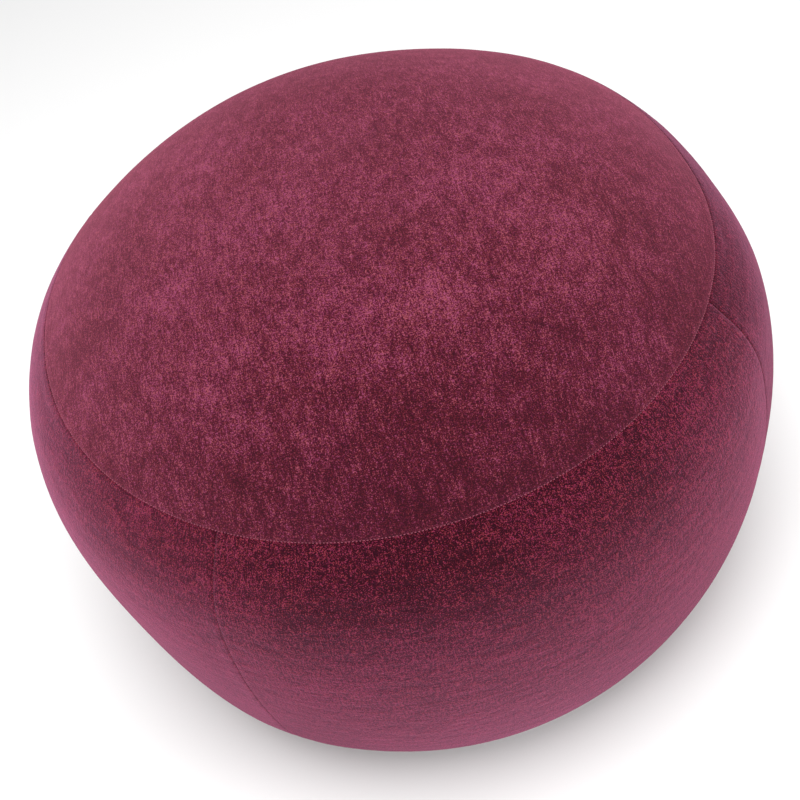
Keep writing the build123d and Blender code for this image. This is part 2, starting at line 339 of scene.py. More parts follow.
# A seam draws the cloth in: a narrow groove, and a faint ridge over the allowances behind it.
GROOVE_DEPTH = 0.6 * MM
GROOVE_WIDTH = 0.6 * MM
GROOVE_SHARPNESS = 1.2
RIDGE_HEIGHT = 0.2 * MM
RIDGE_PLACE = 4.5 * MM
RIDGE_WIDTH = 3.5 * MM


def crease(distance):
    """How far the cloth stands out at a distance from a seam."""
    groove = GROOVE_DEPTH * np.exp(-((distance / GROOVE_WIDTH) ** GROOVE_SHARPNESS))
    ridge = RIDGE_HEIGHT * np.exp(-(((distance - RIDGE_PLACE) / RIDGE_WIDTH) ** 2))
    return ridge - groove


FACING_DOWN = 0.05
NO_LIMIT = 1.0


def floor_limit(s):
    """The furthest out that a point can go without passing below the floor."""
    down = -np.sin(np.radians(np.interp(s, OUT_S, OUT_ANGLE)))
    room = np.interp(s, OUT_S, OUT_Z) / np.maximum(down, FACING_DOWN)
    return room + np.where(down > FACING_DOWN, 0, NO_LIMIT)


# The filling is a little uneven: (azimuth, arc length, half widths of both, height).
LUMPS = [
    (-146, 460 * MM, 14, 65 * MM, -5.0 * MM),
    (-124, 555 * MM, 10, 45 * MM, 2.6 * MM),
    (-32, 440 * MM, 24, 120 * MM, 3.6 * MM),
    (3, 320 * MM, 11, 40 * MM, -3.4 * MM),
    (38, 262 * MM, 16, 50 * MM, 3.4 * MM),
    (158, 300 * MM, 18, 60 * MM, 1.8 * MM),
    (80, 430 * MM, 22, 80 * MM, -2.4 * MM),
    (112, 360 * MM, 16, 60 * MM, 1.8 * MM),
]
LUMP_FALL = 0.7


def unevenness(azimuth, s):
    """Low, wide lumps and dents, which fade out before the base seam."""
    total = np.zeros(s.shape)
    for middle, place, half_azimuth, half_s, height in LUMPS:
        across = ((azimuth - middle + 180) % 360 - 180) / half_azimuth
        along = (s - place) / half_s
        total += height * np.exp(-LUMP_FALL * (across**2 + along**2))
    return total * above_zip(s)


def cover_out(azimuth, s):
    """How far the cover's outer face stands out from the plain outline."""
    azimuth, s = np.broadcast_arrays(np.asarray(azimuth, float), np.asarray(s, float))
    out = swell(azimuth, s) - inset(s) + unevenness(azimuth, s)
    out = out + crease(np.abs(s - S_TOP_SEAM))
    on_wall = (s > S_TOP_SEAM) & (s < S_BASE_SEAM)
    out = out + np.where(on_wall, crease(side_seam_distance(azimuth, s)), 0)
    zipped = (azimuth - ZIP_START) % 360 < ZIP_SWEEP
    out = out + np.where(zipped, 0, crease(np.abs(s - S_BASE_SEAM)))
    return np.minimum(out, floor_limit(s))


# ---- meshes -----------------------------------------------------------------------------------
GRADING = 1.35


def graded_half(half, fine, coarse, starts_fine):
    """Places from 0 to half whose spacing grows from fine, or stays coarse."""
    places, step = [0.0], fine if starts_fine else coarse
    while places[-1] < half:
        places.append(places[-1] + step)
        step = min(step * GRADING, coarse)
    return np.array(places) / places[-1] * half


def graded(start, end, fine, coarse, fine_start=True, fine_end=True):
    """Places from start to end whose spacing grows from fine at an end to coarse inside."""
    length = end - start
    left = graded_half(length / 2, fine, coarse, fine_start)
    right = graded_half(length / 2, fine, coarse, fine_end)
    return start + np.concatenate([left, (length - right[::-1])[1:]])


def new_piece(name, verts, faces, material, normals=None):
    """A smooth-shaded mesh object with one material."""
    mesh = bpy.data.meshes.new(name)
    mesh.from_pydata(verts, [], faces)
    mesh.update()
    mesh.polygons.foreach_set("use_smooth", [True] * len(mesh.polygons))
    mesh.materials.append(material)
    if normals is not None:
        mesh.normals_split_custom_set_from_vertices(normals)
    obj = bpy.data.objects.new(name, mesh)
    scene.collection.objects.link(obj)
    return obj


def store(obj, name, values):
    """Keep a vector per vertex on the mesh, for its material to read."""
    attribute = obj.data.attributes.new(name, "FLOAT_VECTOR", "POINT")
    attribute.data.foreach_set("vector", np.asarray(values, np.float32).ravel())


def surface_normals(azimuth, s, out):
    """Unit outward normals of the surface at(azimuth, s, out), by central differences."""
    along, turn = 0.4 * MM, 0.1
    below = at(azimuth, s + along, out(azimuth, s + along))
    above = at(azimuth, s - along, out(azimuth, s - along))
    after = at(azimuth + turn, s, out(azimuth + turn, s))
    before = at(azimuth - turn, s, out(azimuth - turn, s))
    normal = np.cross(below - above, after - before)
    size = np.linalg.norm(normal, axis=-1, keepdims=True)
    return normal / np.maximum(size, 1e-15)


def cloth_coordinates(azimuth, s, points, laid_flat):
    """Where each point lies on its flat panel: a round panel is seen from above."""
    if laid_flat:
        return points * np.array([1, 1, 0])
    across = np.radians(azimuth) * OUT_R.max() + np.zeros_like(s)
    return np.stack(np.broadcast_arrays(across, s, 0.0), -1)


def rim_faces(rows, columns, wrap, pole):
    """Quads that join a shell's outer grid to its inner one along the open edges."""
    edges = []
    open_rows = {"crown": [(rows - 1, False)], "sole": [(0, True)]}
    for row, flip in open_rows.get(pole, [(0, True), (rows - 1, False)]):
        for i in range(columns if wrap else columns - 1):
            edges.append((row * columns + i, row * columns + (i + 1) % columns, flip))
    if not wrap:
        for column, flip in ((0, False), (columns - 1, True)):
            for j in range(rows - 1):
                edges.append((j * columns + column, (j + 1) * columns + column, flip))
    faces = []
    for a, b, flip in edges:
        face = (a, a + rows * columns, b + rows * columns, b)
        faces.append(face[::-1] if flip else face)
    return faces


def shell(name, azimuth, s, out, inner, material, wrap=False, pole=None, laid_flat=False):
    """Closed shell between two offsets (functions) over a grid of the outline. s holds one
    arc length a row, or one a vertex. pole is "crown" or "sole" where the grid closes on the
    axis."""
    az, arc = azimuth[None, :], s if s.ndim > 1 else s[:, None]
    outer_points, inner_points = at(az, arc, out(az, arc)), at(az, arc, inner(az, arc))
    rows, columns = outer_points.shape[:2]
    count = rows * columns
    faces = grid_faces(columns, rows, wrap)
    faces += [tuple(count + v for v in reversed(face)) for face in faces]
    faces += rim_faces(rows, columns, wrap, pole)
    normals = surface_normals(az, arc, out)
    cloth = cloth_coordinates(az, arc, outer_points, laid_flat)
    verts = np.concatenate([outer_points, inner_points]).reshape(-1, 3)
    normals = np.concatenate([normals, -normals]).reshape(-1, 3)
    cloth = np.concatenate([cloth, cloth]).reshape(-1, 3)
    if pole:
        end = 0.0 if pole == "crown" else LENGTH
        tip, first = 2 * count, 0 if pole == "crown" else (rows - 1) * columns
        up = np.array([0, 0, 1.0 if pole == "crown" else -1.0])
        tips = [at(0.0, end, out(0.0, end)), at(0.0, end, inner(0.0, end))]
        for i in range(columns):
            a, b = first + i, first + (i + 1) % columns
            fan = (tip, a, b) if pole == "crown" else (tip, b, a)
            faces.append(fan)
            faces.append((tip + 1, fan[2] + count, fan[1] + count))
        verts = np.vstack([verts, tips])
        normals = np.vstack([normals, [up, -up]])
        cloth = np.vstack([cloth, np.zeros((2, 3))])
    obj = new_piece(name, [tuple(v) for v in verts], faces, material, normals)
    store(obj, "cloth", cloth)
    store(obj, "rest", verts)
    return obj


# ---- materials --------------------------------------------------------------------------------
def srgb(red, green, blue):
    """A colour given as 0-255 display values, in linear light."""
    parts = [v / 255 for v in (red, green, blue)]
    linear = [p / 12.92 if p <= 0.04045 else ((p + 0.055) / 1.055) ** 2.4 for p in parts]
    return (*linear, 1.0)


class Shader:
    """A node material with a Principled shader and short ways to add nodes."""

    def __init__(self, name, roughness, metallic=0.0, specular=0.3):
        self.material = bpy.data.materials.new(name)
        self.material.use_nodes = True
        self.tree = self.material.node_tree
        self.principled = self.tree.nodes["Principled BSDF"]
        self.principled.inputs["Roughness"].default_value = roughness
        self.principled.inputs["Metallic"].default_value = metallic
        self.principled.inputs["Specular IOR Level"].default_value = specular

    def node(self, kind, **values):
        made = self.tree.nodes.new(kind)
        for key, value in values.items():
            if hasattr(made, key):
                setattr(made, key, value)
            else:
                made.inputs[key.replace("_", " ")].default_value = value
        return made

    def link(self, output, target):
        self.tree.links.new(output, target)

    def attribute(self, name):
        return self.node("ShaderNodeAttribute", attribute_name=name).outputs["Vector"]

    def mapped(self, vector, scale, turn=0.0):
        mapping = self.node("ShaderNodeMapping")
        mapping.inputs["Scale"].default_value = scale
        mapping.inputs["Rotation"].default_value = (0, 0, math.radians(turn))
        self.link(vector, mapping.inputs["Vector"])
        return mapping.outputs["Vector"]

    def noise(self, vector, scale, detail=2.0, rough=0.5):
        made = self.node("ShaderNodeTexNoise", Scale=scale, Detail=detail, Roughness=rough)
        self.link(vector, made.inputs["Vector"])
        return made.outputs["Fac"]

    def math(self, operation, first, second):
        made = self.node("ShaderNodeMath", operation=operation)
        for socket, value in zip(made.inputs, (first, second)):
            if isinstance(value, (int, float)):
                socket.default_value = value
            else:
                self.link(value, socket)
        return made.outputs[0]

    def spot(self, vector, place, radius):
        """1 at a place, falling smoothly to 0 at a radius."""
        made = self.node("ShaderNodeVectorMath", operation="DISTANCE")
        self.link(vector, made.inputs[0])
        made.inputs[1].default_value = place
        fall = self.node("ShaderNodeMapRange", interpolation_type="SMOOTHSTEP")
        self.link(made.outputs["Value"], fall.inputs["Value"])
        fall.inputs["From Max"].default_value = radius
        fall.inputs["To Min"].default_value = 1.0
        fall.inputs["To Max"].default_value = 0.0
        return fall.outputs["Result"]

    def weighted(self, parts):
        """0.5 plus every (fac, weight) pair's swing about its own middle."""
        total = 0.5
        for fac, weight in parts:
            swing = self.math("MULTIPLY", self.math("SUBTRACT", fac, 0.5), weight)
            total = self.math("ADD", swing, total)
        return total

    def mix(self, fac, first, second):
        made = self.node("ShaderNodeMixRGB")
        for output, target in zip((fac, first, second), made.inputs):
            self.link(output, target)
        return made.outputs[0]

    def ramp(self, fac, stops):
        made = self.node("ShaderNodeValToRGB")
        elements = made.color_ramp.elements
        while len(elements) < len(stops):
            elements.new(0.5)
        for element, (place, colour) in zip(elements, stops):
            element.position = place
            element.color = colour
        self.link(fac, made.inputs["Fac"])
        return made.outputs["Color"]

    def colour(self, output):
        self.link(output, self.principled.inputs["Base Color"])

    def rough(self, output):
        self.link(output, self.principled.inputs["Roughness"])

    def bump(self, height, strength, distance):
        made = self.node("ShaderNodeBump", Strength=strength, Distance=distance)
        self.link(height, made.inputs["Height"])
        self.link(made.outputs["Normal"], self.principled.inputs["Normal"])


# shadowed, middle and light pile, in a redder and a more purple run of the yarn
TOP_NAP = (
    [srgb(34, 3, 8), srgb(73, 14, 25), srgb(132, 64, 74)],
    [srgb(32, 2, 12), srgb(69, 10, 31), srgb(125, 55, 86)],
)
SIDE_NAP = (
    [srgb(34, 1, 6), srgb(74, 8, 19), srgb(134, 49, 60)],
    [srgb(32, 0, 10), srgb(70, 4, 25), srgb(127, 41, 71)],
)
NAP_PLACES = (0.05, 0.5, 0.95)
SHEEN_ROSE = srgb(255, 142, 176)
SHEEN_LILAC = srgb(255, 158, 204)


def tinted(colour, factor):
    return (*(min(channel * factor, 1.0) for channel in colour[:3]), 1.0)


# lighter and darker spots in the pile's colour, partly pile laid another way and partly painted light
# and shade: place, radius and how much lighter
PILE_AND_PAINTED_LIGHT_SPOTS = [
    # lighter patches on the top, towards its middle and back left: painted highlight, partly pile
    # brushed another way
    ((0.033, -0.134, 0.409), 34 * MM, 0.16),
    ((0.137, -0.096, 0.399), 80 * MM, 0.07),
    ((-0.120, 0.050, 0.410), 180 * MM, 0.07),
    # darker along the top's edge from the front left round to the back right: painted shade
    ((-0.160, -0.215, 0.345), 130 * MM, -0.12),
    ((-0.020, -0.262, 0.345), 150 * MM, -0.24),
    ((0.130, -0.228, 0.345), 140 * MM, -0.20),
    ((0.235, -0.120, 0.345), 130 * MM, -0.17),
    ((0.262, 0.040, 0.345), 130 * MM, -0.18),
    ((0.190, 0.185, 0.345), 130 * MM, -0.16),
    # darker on the front panel's upper band: painted shade
    ((-0.060, -0.275, 0.300), 110 * MM, -0.14),
    ((0.040, -0.285, 0.290), 90 * MM, -0.08),
    # lighter on the front panel's lower right, the left panel's front and the lower front: painted light
    ((0.200, -0.210, 0.180), 150 * MM, 0.13),
    ((-0.235, -0.170, 0.230), 110 * MM, 0.14),
    ((-0.040, -0.290, 0.130), 120 * MM, 0.05),
]


# layers of noise in the pile: repeats a metre, detail and roughness
BRUSHED = (110, 3, 0.55)
PATCHES = (14, 2, 0.5)
TUFTS = (420, 1, 0.5)
PILE = (1300, 1, 0.6)
STREAKS = (800, 1, 0.5)
YARN_HUE = (640, 1, 0.5)
STREAK_STRETCH = (1, 0.14, 1)
# how much each layer sways the colour, the yarn's hue and the relief
BROAD_SWAY = {"brushed": 0.72, "patches": 0.5}
FINE_SWAY = {"tufts": 0.6, "pile": 2.6, "streaks": 0.8}
HUE_SWAY = {"hue": 4.0, "patches": 1.0}
RELIEF_SWAY = {"brushed": 1.5, "tufts": 0.6, "pile": 0.4, "streaks": 0.5}
RELIEF_STRENGTH = 0.7
RELIEF_DEPTH = 0.6 * MM


def velour(name, naps, shade, grain, nap_turn, brush, sheen, sheen_roughness, tint):
    """Short-pile velour: blotches where the pile was brushed, fine pile, woven streaks."""
    made = Shader(name, roughness=0.95, specular=0.05)
    cloth, rest = made.attribute("cloth"), made.attribute("rest")
    layers = {
        "brushed": made.noise(made.mapped(cloth, brush, nap_turn), *BRUSHED),
        "patches": made.noise(rest, *PATCHES),
        "tufts": made.noise(rest, *TUFTS),
        "pile": made.noise(rest, *PILE),
        "streaks": made.noise(made.mapped(cloth, STREAK_STRETCH, nap_turn), *STREAKS),
        "hue": made.noise(rest, *YARN_HUE),
    }
    sways = [(layers[key], sway) for key, sway in BROAD_SWAY.items()]
    sways += [(layers[key], sway * grain) for key, sway in FINE_SWAY.items()]
    mixed = made.weighted(sways)
    # the spots lighten or darken the pile's colour: painted light and shade, partly pile laid another
    # way
    for place, radius, weight in PILE_AND_PAINTED_LIGHT_SPOTS:
        lighter = made.math("MULTIPLY", made.spot(rest, place, radius), weight)
        mixed = made.math("ADD", mixed, lighter)
    ramps = []
    for nap in naps:
        stops = [(place, tinted(colour, shade)) for place, colour in zip(NAP_PLACES, nap)]
        ramps.append(made.ramp(mixed, stops))
    hue = made.weighted([(layers[key], sway) for key, sway in HUE_SWAY.items()])
    made.colour(made.mix(hue, *ramps))
    made.principled.inputs["Sheen Weight"].default_value = sheen
    made.principled.inputs["Sheen Roughness"].default_value = sheen_roughness
    made.principled.inputs["Sheen Tint"].default_value = tint
    relief = made.weighted([(layers[key], sway) for key, sway in RELIEF_SWAY.items()])
    made.bump(relief, RELIEF_STRENGTH, RELIEF_DEPTH * grain)
    return made.material


WAVE_PERIOD = 0.314
THREAD_WANDER = 0.4


def woven(name, colour, pitch):
    """Plain-woven cloth: crossed threads at a pitch, a little uneven."""
    made = Shader(name, roughness=0.85, specular=0.2)
    cloth = made.attribute("cloth")
    waves = []
    for direction in ("X", "Y"):
        wave = made.node(
            "ShaderNodeTexWave", bands_direction=direction,
            Scale=WAVE_PERIOD / pitch, Distortion=THREAD_WANDER,
        )
        made.link(cloth, wave.inputs["Vector"])
        waves.append(wave.outputs["Fac"])
    threads = made.math("MULTIPLY", *waves)
    mixed = made.weighted([(threads, 0.6), (made.noise(made.attribute("rest"), 60, 3), 0.6)])
    made.colour(made.ramp(mixed, [(0.2, tinted(colour, 0.6)), (0.8, tinted(colour, 1.3))]))
    made.bump(threads, 0.6, 0.3 * MM)
    return made.material


BLOTCH_TO_GRAIN = 12


def solid(name, colour, roughness, grain=300.0, metallic=0.0, swing=0.15, bump=0.05):
    """Moulded or cast stuff: a fine uneven grain in colour and gloss."""
    made = Shader(name, roughness=roughness, metallic=metallic, specular=0.4)
    place = made.node("ShaderNodeTexCoord").outputs["Object"]
    fine, broad = made.noise(place, grain, 3), made.noise(place, grain / BLOTCH_TO_GRAIN, 2)
    mixed = made.weighted([(fine, 0.5), (broad, 0.7)])
    stops = [(0.25, tinted(colour, 1 - swing)), (0.75, tinted(colour, 1 + swing))]
    made.colour(made.ramp(mixed, stops))
    low, high = roughness * 0.85, min(roughness * 1.15, 1.0)
    made.rough(made.ramp(broad, [(0.3, (low,) * 3 + (1,)), (0.7, (high,) * 3 + (1,))]))
    made.bump(fine, 0.4, bump * MM)
    return made.material


# each panel's nap lies its own way, and its blotches are drawn out along or across the panel
LENGTHWISE, CROSSWISE = (1, 0.6, 1), (0.4, 1, 1)


def side_look(shade, grain, nap_turn, sheen):
    return {
        "naps": SIDE_NAP, "shade": shade, "grain": grain, "nap_turn": nap_turn,
        "brush": CROSSWISE, "sheen": sheen, "sheen_roughness": 0.5, "tint": SHEEN_LILAC,
    }


# each panel's shade is partly its nap's own tone and partly painted shade: the top lighter and the side
# panels darker, the right panel most, as the light falls on them
PANEL_LOOK = {
    "top": {
        "naps": TOP_NAP, "shade": 1.06, "grain": 0.9, "nap_turn": 20,
        "brush": LENGTHWISE, "sheen": 0.31, "sheen_roughness": 0.6, "tint": SHEEN_ROSE,
    },
    "front": side_look(shade=0.88, grain=1.6, nap_turn=4, sheen=0.37),
    "right": side_look(shade=0.76, grain=1.4, nap_turn=-3, sheen=0.3),
    "back": side_look(shade=0.8, grain=1.3, nap_turn=2, sheen=0.42),
    "left": side_look(shade=0.88, grain=1.2, nap_turn=-2, sheen=0.42),
}
velours = {key: velour(f"velour_{key}", **look) for key, look in PANEL_LOOK.items()}
base_cloth = woven("grip_base_cloth", srgb(74, 30, 42), 1.6 * MM)
backing = woven("cover_backing", srgb(120, 70, 84), 1.0 * MM)
tape_cloth = woven("zip_tape_weave", srgb(84, 28, 42), 0.8 * MM)
label_cloth = woven("label_satin", srgb(226, 224, 216), 0.5 * MM)
foam_cells = solid("foam_cells", srgb(226, 214, 176), 0.95, grain=450, swing=0.12, bump=0.6)
film = solid("bladder_film", srgb(118, 124, 138), 0.5, grain=200, swing=0.06)
dark_thread = solid("seam_thread_dark", srgb(50, 12, 24), 0.7, grain=2500, swing=0.3)
# the top seam's thread is lighter than the others': partly thread colour, partly a painted highlight
# along the top seam's ridge
rose_thread = solid("seam_thread_rose", srgb(140, 70, 88), 0.7, grain=2500, swing=0.3)
nylon = solid("zip_nylon", srgb(70, 22, 34), 0.45, grain=900, swing=0.15)
lacquer = solid("zip_lacquer", srgb(92, 84, 86), 0.35, grain=700, metallic=0.8, swing=0.1)
valve_plastic = solid("valve_plastic", srgb(206, 206, 204), 0.4, grain=400, swing=0.04)


# ---- the cover -------------------------------------------------------------------------------
def inside_cover(azimuth, s):
    return cover_out(azimuth, s) - VELOUR


# the zip's mouth opens between these angles from each of its ends
ZIP_MOUTH = (0.6, 2.0)


def hem(azimuth):
    """How far the cover's edge stands back from the base seam line: more along the zip."""
    turn = (azimuth - ZIP_START) % 360
    from_ends = np.minimum(turn, ZIP_SWEEP - turn) - ZIP_MOUTH[0]
    opened = np.clip(from_ends / (ZIP_MOUTH[1] - ZIP_MOUTH[0]), 0, 1)
    return SEAM_GAP / 2 + (ZIP_OPENING_HALF - SEAM_GAP / 2) * opened


def padded_piece(node):
    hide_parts(node)


def bend_lower(obj):
    """For pieces from the base up to the pivot's height: bakes the placement into the mesh; no bending
    is done.
    """
    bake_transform(obj)


def bend_upper(obj):
    """For pieces from the pivot's height up to the top seam: bakes the placement into the mesh; no
    bending is done.
    """
    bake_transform(obj)


# mesh steps, fine along a seam and coarse inside a panel, along the cloth or in degrees
SEAM_STEP = 0.35 * MM
TOP_STEP, SIDE_STEP, BASE_STEP = 5.5 * MM, 5 * MM, 7 * MM
SIDE_RADIUS = 0.3
SIDE_SEAM_TURN = math.degrees(SEAM_STEP / SIDE_RADIUS)
SIDE_TURN = math.degrees(TOP_STEP / SIDE_RADIUS)
ZIP_MOUTH_TURN, BASE_TURN = 0.2, 1.6
TOP_COLUMNS = 300


def make_top():
    azimuth = np.arange(TOP_COLUMNS) * 360 / TOP_COLUMNS
    rows = graded(0, S_TOP_SEAM - SEAM_GAP / 2, SEAM_STEP, TOP_STEP, fine_start=False)[1:]
    top = shell(
        "top_panel", azimuth, rows, cover_out, inside_cover, velours["top"],
        wrap=True, pole="crown", laid_flat=True,
    )
    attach(top, "seat")
    padded_piece("cover_top_panel")


def make_side(index, key):
    """A side panel in two halves, which meet at the height of the tilt's hinges."""
    gap = math.degrees(SEAM_GAP / OUT_R.max())
    start = FIRST_SIDE_SEAM + index * PANEL_SWEEP + gap / 2
    azimuth = graded(start, start + PANEL_SWEEP - gap, SIDE_SEAM_TURN, SIDE_TURN)
    top_edge = S_TOP_SEAM + SEAM_GAP / 2
    upper = graded(top_edge, S_WIDEST, SEAM_STEP, SIDE_STEP, fine_end=False)
    lower = graded(S_WIDEST, S_BASE_SEAM, SEAM_STEP, SIDE_STEP, fine_start=False)
    drop = (lower - S_WIDEST) / (S_BASE_SEAM - S_WIDEST)
    lower = lower[:, None] - drop[:, None] * hem(azimuth)[None, :]
    for half, rows, bend in (("upper", upper, bend_upper), ("lower", lower, bend_lower)):
        panel = shell(
            f"side_panel_{key}_{half}", azimuth, rows, cover_out, inside_cover, velours[key]
        )
        bend(panel)
        padded_piece(f"cover_side_{key}")


def make_base():
    """The base panel, whose edge stands back from the zip on the zipped half."""
    half = graded(0, ZIP_SWEEP, ZIP_MOUTH_TURN, BASE_TURN)[:-1]
    azimuth = ZIP_START + np.concatenate([half, ZIP_SWEEP + half])
    edge = S_BASE_SEAM + hem(azimuth)
    inwards = graded(0, LENGTH - S_BASE_SEAM, SEAM_STEP, BASE_STEP, fine_end=False)[:-1]
    share = inwards / (LENGTH - S_BASE_SEAM)
    rows = edge[None, :] + (LENGTH - edge[None, :]) * share[:, None]
    base = shell(
        "base_panel", azimuth, rows, cover_out, inside_cover, base_cloth,
        wrap=True, pole="sole", laid_flat=True,
    )
    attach(base, "base")
    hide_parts("cover_base_panel")


make_top()
for number, key in enumerate(SIDE_PANELS):
    make_side(number, key)
make_base()


# ---- stitches ----------------------------------------------------------------------------------
STITCH_PITCH = 2.3 * MM
STITCH_LENGTH = 1.5 * MM
STITCH_RADIUS = 0.3 * MM
STITCH_STAND = 0.1 * MM
STITCH_TOP_MARGIN, STITCH_BASE_MARGIN = 2 * MM, 6 * MM
STITCH_STEPS = np.array([-0.5, -0.25, 0.0, 0.25, 0.5])
STITCH_DIP = np.array([-0.5, -0.05, 0.0, -0.05, -0.5]) * MM
TUBE_SIDES = 5
TUBE_END_TAPER = 0.45


def capsule(path, radius, sides=TUBE_SIDES):
    """Closed tube with small end caps along a path; returns points and faces."""
    path = np.asarray(path)
    tangents = np.gradient(path, axis=0)
    tangents /= np.linalg.norm(tangents, axis=1, keepdims=True)
    helper = np.where(np.abs(tangents[:, 2:3]) < 0.9, [[0, 0, 1.0]], [[1.0, 0, 0]])
    side = np.cross(tangents, helper)
    side /= np.linalg.norm(side, axis=1, keepdims=True)
    up = np.cross(side, tangents)
    turn = np.arange(sides) * 2 * np.pi / sides
    cosine, sine = np.cos(turn)[None, :, None], np.sin(turn)[None, :, None]
    ring = side[:, None, :] * cosine + up[:, None, :] * sine
    taper = np.full(len(path), radius)
    taper[[0, -1]] = TUBE_END_TAPER * radius
    points = (path[:, None, :] + ring * taper[:, None, None]).reshape(-1, 3)
    faces = []
    for j in range(len(path) - 1):
        for i in range(sides):
            k = (i + 1) % sides
            faces.append((j * sides + i, j * sides + k, (j + 1) * sides + k, (j + 1) * sides + i))
    faces.append(tuple(reversed(range(sides))))
    faces.append(tuple((len(path) - 1) * sides + i for i in range(sides)))
    return points, faces


class Parts:
    """Many small closed forms gathered into one mesh."""

    def __init__(self):
        self.points, self.faces, self.count = [], [], 0

    def add(self, points, faces):
        self.points.append(points)
        self.faces += [tuple(self.count + v for v in face) for face in faces]
        self.count += len(points)

    def piece(self, name, material):
        points = np.concatenate(self.points)
        obj = new_piece(name, [tuple(p) for p in points], self.faces, material)
        store(obj, "rest", points)
        store(obj, "cloth", points)
        return obj


def stitches_round(s, start, sweep):
    """Stitches along a horizontal seam."""
    radius = float(np.interp(s, OUT_S, OUT_R))
    count = int(math.radians(sweep) * radius / STITCH_PITCH)
    parts = Parts()
    for number in range(count):
        middle = start + sweep * (number + 0.5) / count
        azimuth = middle + np.degrees(STITCH_STEPS * STITCH_LENGTH / radius)
        arc = np.full_like(azimuth, s)
        out = cover_out(azimuth, arc) + STITCH_STAND + STITCH_DIP
        parts.add(*capsule(at(azimuth, arc, out), STITCH_RADIUS))
    return parts


def stitches_down(top, bottom):
    """Stitches along the four side seams between two arc lengths."""
    parts = Parts()
    count = int((bottom - top) / STITCH_PITCH)
    for seam in range(len(SIDE_PANELS)):
        azimuth = np.full_like(STITCH_STEPS, FIRST_SIDE_SEAM + seam * PANEL_SWEEP)
        for number in range(count):
            s = top + (bottom - top) * (number + 0.5) / count + STITCH_STEPS * STITCH_LENGTH
            out = cover_out(azimuth, s) + STITCH_STAND + STITCH_DIP
            parts.add(*capsule(at(azimuth, s, out), STITCH_RADIUS))
    return parts


def make_stitches():
    # lighter thread on the top seam: partly a painted highlight along its ridge
    top = stitches_round(S_TOP_SEAM, FIRST_SIDE_SEAM, 360).piece("stitches_top_seam", rose_thread)
    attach(top, "seat")
    base = stitches_round(S_BASE_SEAM, ZIP_START + ZIP_SWEEP, 360 - ZIP_SWEEP)
    base = base.piece("stitches_base_seam", dark_thread)
    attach(base, "base")
    upper = stitches_down(S_TOP_SEAM + STITCH_TOP_MARGIN, S_WIDEST)
    upper = upper.piece("stitches_side_upper", dark_thread)
    bend_upper(upper)
    lower = stitches_down(S_WIDEST, S_BASE_SEAM - STITCH_BASE_MARGIN)
    lower = lower.piece("stitches_side_lower", dark_thread)
    bend_lower(lower)


make_stitches()


# ---- what lies under the cover ------------------------------------------------------------------
def under_cover(depth):
    """The offset of a face that follows the filled cover, a depth inside its outer face."""
    return lambda azimuth, s: cover_out(azimuth, s) - depth


def at_depth(depth):
    """The offset of a face that keeps to the plain outline."""
    return lambda azimuth, s: np.full(np.broadcast(azimuth, s).shape, -depth)


ALLOWANCE_FACES = (under_cover(2.1 * MM), under_cover(3.3 * MM))
ALLOWANCE_HALF_WIDTH = 8.0 * MM
FOAM_FACES = (under_cover(3.6 * MM), at_depth(27.6 * MM))
FOAM_SPLIT_GAP = 0.4 * MM
ZIP_GROOVE_HALF = 12.5 * MM
VALVE_WELL_RADIUS = 60 * MM
BLADDER_FACES = (at_depth(28.0 * MM), at_depth(28.8 * MM))
EQUATOR_GAP = 0.1 * MM
VALVE_HOLE_RADIUS = 9.3 * MM
LAYER_COLUMNS, LAYER_STEP = 120, 8 * MM
ROUND_COLUMNS, STRIP_COLUMNS = 61, 5


def layer(name, node, faces, top, bottom, material, azimuth=None, pole=None):
    """A layer between two arc lengths, all the way round or between azimuths. faces holds the
    offsets of its outer and inner face."""
    wrap = azimuth is None
    if wrap:
        azimuth = np.arange(LAYER_COLUMNS) * 360 / LAYER_COLUMNS
    rows = np.linspace(top, bottom, max(int((bottom - top) / LAYER_STEP), 2) + 1)
    rows = rows[1:] if pole == "crown" else rows
    piece = shell(name, azimuth, rows, *faces, material, wrap=wrap, pole=pole)
    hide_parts(node)
    return piece


def make_foam():
    top_edge, wall_top = S_TOP_SEAM - FOAM_SPLIT_GAP / 2, S_TOP_SEAM + FOAM_SPLIT_GAP / 2
    groove = (S_BASE_SEAM - ZIP_GROOVE_HALF, S_BASE_SEAM + ZIP_GROOVE_HALF)
    topper = layer(
        "foam_topper_pad", "foam_topper", FOAM_FACES, 0, top_edge, foam_cells, pole="crown"
    )
    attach(topper, "seat")
    wall = "foam_side_wall"
    upper = layer("foam_wall_upper", wall, FOAM_FACES, wall_top, S_WIDEST, foam_cells)
    bend_upper(upper)
    lower = layer("foam_wall_lower", wall, FOAM_FACES, S_WIDEST, groove[0], foam_cells)
    bend_lower(lower)
    well = LENGTH - VALVE_WELL_RADIUS
    ring = layer("foam_ring", "foam_base_ring", FOAM_FACES, groove[1], well, foam_cells)
    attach(ring, "base")


def make_bladder():
    upper = layer(
        "bladder_upper", "bladder_upper_shell", BLADDER_FACES,
        0, S_WIDEST - EQUATOR_GAP, film, pole="crown",
    )
    bend_upper(upper)
    lower = layer(
        "bladder_lower", "bladder_lower_shell", BLADDER_FACES,
        S_WIDEST + EQUATOR_GAP, LENGTH - VALVE_HOLE_RADIUS, film,
    )
    bend_lower(lower)


